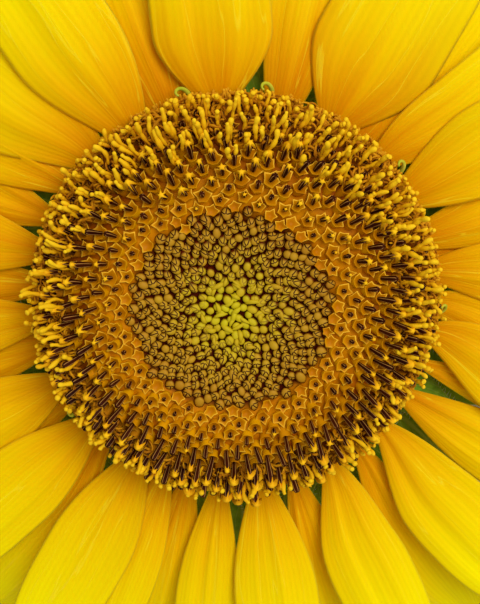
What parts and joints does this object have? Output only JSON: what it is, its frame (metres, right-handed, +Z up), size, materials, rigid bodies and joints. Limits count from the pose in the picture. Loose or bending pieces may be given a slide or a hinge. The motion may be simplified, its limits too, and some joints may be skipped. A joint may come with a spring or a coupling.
{
  "type": "sunflower head",
  "caption": "Sunflower head in full bloom, picked with a short stem, resting face up, with yellow ray petals round a disc of florets from closed buds to curled stigmas.",
  "frame": {"origin": "on the resting surface, below the middle of the head's outline", "axes": "+Z up out of the flower's face, along the stem's axis; +Y towards the top of the head as it faces the viewer"},
  "size_m": [0.2703, 0.2702, 0.0583],
  "materials": {
    "petal": "soft waxy satin, fine lengthwise veins",
    "bract": "matte, finely hairy leaf",
    "stem": "matte, ribbed and hairy",
    "receptacle": "matte, fleshy",
    "bud": "matte, waxy",
    "corolla": "soft satin",
    "anther": "matte, with pollen",
    "stigma": "matte, velvety"
  },
  "bodies": {
    "root": {"stem": "stem", "receptacle": "receptacle", "florets_in_bud": "bud", "florets_opening": "corolla", "florets_with_anthers": "anther", "florets_with_stigmas": "stigma", "petal_01": "petal", "petal_02": "petal", "petal_03": "petal", "petal_04": "petal", "petal_05": "petal", "petal_06": "petal", "petal_07": "petal", "petal_08": "petal", "petal_09": "petal", "petal_10": "petal", "petal_11": "petal", "petal_12": "petal", "petal_13": "petal", "petal_14": "petal", "petal_15": "petal", "petal_16": "petal", "petal_17": "petal", "petal_18": "petal", "petal_19": "petal", "petal_20": "petal", "petal_21": "petal", "petal_22": "petal", "petal_23": "petal", "petal_24": "petal", "petal_25": "petal", "petal_26": "petal", "petal_27": "petal", "petal_28": "petal", "petal_29": "petal", "petal_30": "petal", "petal_31": "petal", "petal_32": "petal", "petal_33": "petal", "petal_34": "petal", "petal_35": "petal", "bract_upper_01": "bract", "bract_upper_02": "bract", "bract_upper_03": "bract", "bract_upper_04": "bract", "bract_upper_05": "bract", "bract_upper_06": "bract", "bract_upper_07": "bract", "bract_upper_08": "bract", "bract_upper_09": "bract", "bract_upper_10": "bract", "bract_upper_11": "bract", "bract_upper_12": "bract", "bract_upper_13": "bract", "bract_upper_14": "bract", "bract_lower_01": "bract", "bract_lower_02": "bract", "bract_lower_03": "bract", "bract_lower_04": "bract", "bract_lower_05": "bract"}
  },
  "joints": []
}
